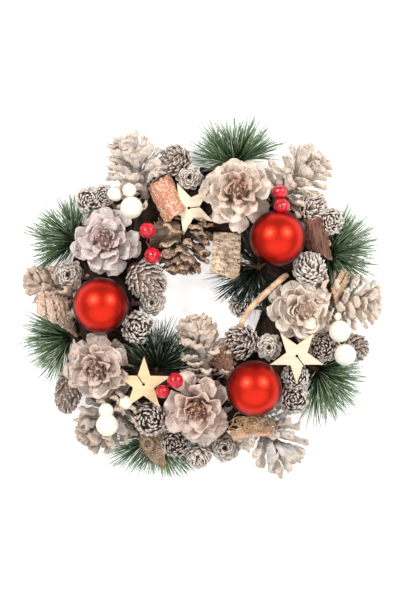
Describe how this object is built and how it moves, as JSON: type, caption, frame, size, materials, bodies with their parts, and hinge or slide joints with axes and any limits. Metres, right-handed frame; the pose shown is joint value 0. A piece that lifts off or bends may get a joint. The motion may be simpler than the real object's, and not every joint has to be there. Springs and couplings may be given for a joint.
{
  "type": "christmas wreath",
  "caption": "Round Christmas wreath of whitewashed pine cones, frosted needles, bark, red baubles, wooden stars and berries on a ring of wound twigs, laid on its flat back.",
  "frame": {"origin": "under the middle of the wreath's outer box, on the surface that its flat back lies on", "axes": "+Z out of the wreath's face, +Y to its top as it is seen in the picture, +X to the right"},
  "size_m": [0.2702, 0.271, 0.0635],
  "materials": {
    "twig": "rough, dark brown wound twigs",
    "whitewashed_cone": "dry cone scales rubbed with white, pink at the edges",
    "tan_cone": "dry tan cone scales rubbed with white",
    "small_cone": "dry brown-grey cone scales with pale tips",
    "bauble_red": "satin red lacquer",
    "cap_silver": "thin bright metal cap and wire loop",
    "pale_ply": "raw pale plywood",
    "cream_foam": "matt cream foam",
    "berry_red": "glossy red with sugar frost",
    "bark": "dry rough bark",
    "rattan": "smooth peeled cane",
    "pine_green": "matt green needles frosted white at their tips"
  },
  "bodies": {
    "root": {"base_ring": "twig", "bauble_upper_right": "bauble_red", "bauble_cap_upper_right": "cap_silver", "bauble_left": "bauble_red", "bauble_cap_left": "cap_silver", "bauble_lower_right": "bauble_red", "bauble_cap_lower_right": "cap_silver", "wooden_star_top": "pale_ply", "wooden_star_lower_left": "pale_ply", "wooden_star_right": "pale_ply", "cream_berries_upper_left": "cream_foam", "cream_berries_right": "cream_foam", "cream_berries_lower_left": "cream_foam", "red_berries_top_right": "berry_red", "red_berries_left": "berry_red", "red_berries_lower_left": "berry_red", "bark_orange_curl": "bark", "bark_olive": "bark", "birch_chip": "bark", "bark_purple_curl": "bark", "bark_roll_left": "bark", "bark_conical_curl": "bark", "bark_with_knot": "bark", "canoe_peel": "bark", "bark_strips_right": "bark", "rattan_stick": "rattan", "big_cone_top": "whitewashed_cone", "big_cone_upper_left": "whitewashed_cone", "big_cone_lower_left": "whitewashed_cone", "big_cone_bottom": "whitewashed_cone", "big_cone_right": "whitewashed_cone", "side_cone_top_left": "tan_cone", "side_cone_top_right": "tan_cone", "side_cone_right": "tan_cone", "side_cone_lower_right": "tan_cone", "side_cone_lower_left": "tan_cone", "side_cone_left": "tan_cone", "side_cone_inner_bottom": "tan_cone", "side_cone_inner_top": "tan_cone", "small_cones_top": "small_cone", "small_cones_top_left": "small_cone", "small_cones_left": "small_cone", "small_cones_inner_left": "small_cone", "small_cones_upper_right": "small_cone", "small_cones_far_right": "small_cone", "small_cones_inner_right": "small_cone", "small_cones_right": "small_cone", "small_cones_lower_right": "small_cone", "small_cones_lower_left": "small_cone", "small_cones_bottom_left": "small_cone", "small_cones_bottom": "small_cone", "small_cones_hole": "small_cone", "needles_top": "pine_green", "needles_upper_left": "pine_green", "needles_lower_left": "pine_green", "needles_right": "pine_green", "needles_lower_right": "pine_green", "needles_bottom": "pine_green", "needles_inner_left": "pine_green", "needles_inner_right": "pine_green"}
  },
  "joints": []
}
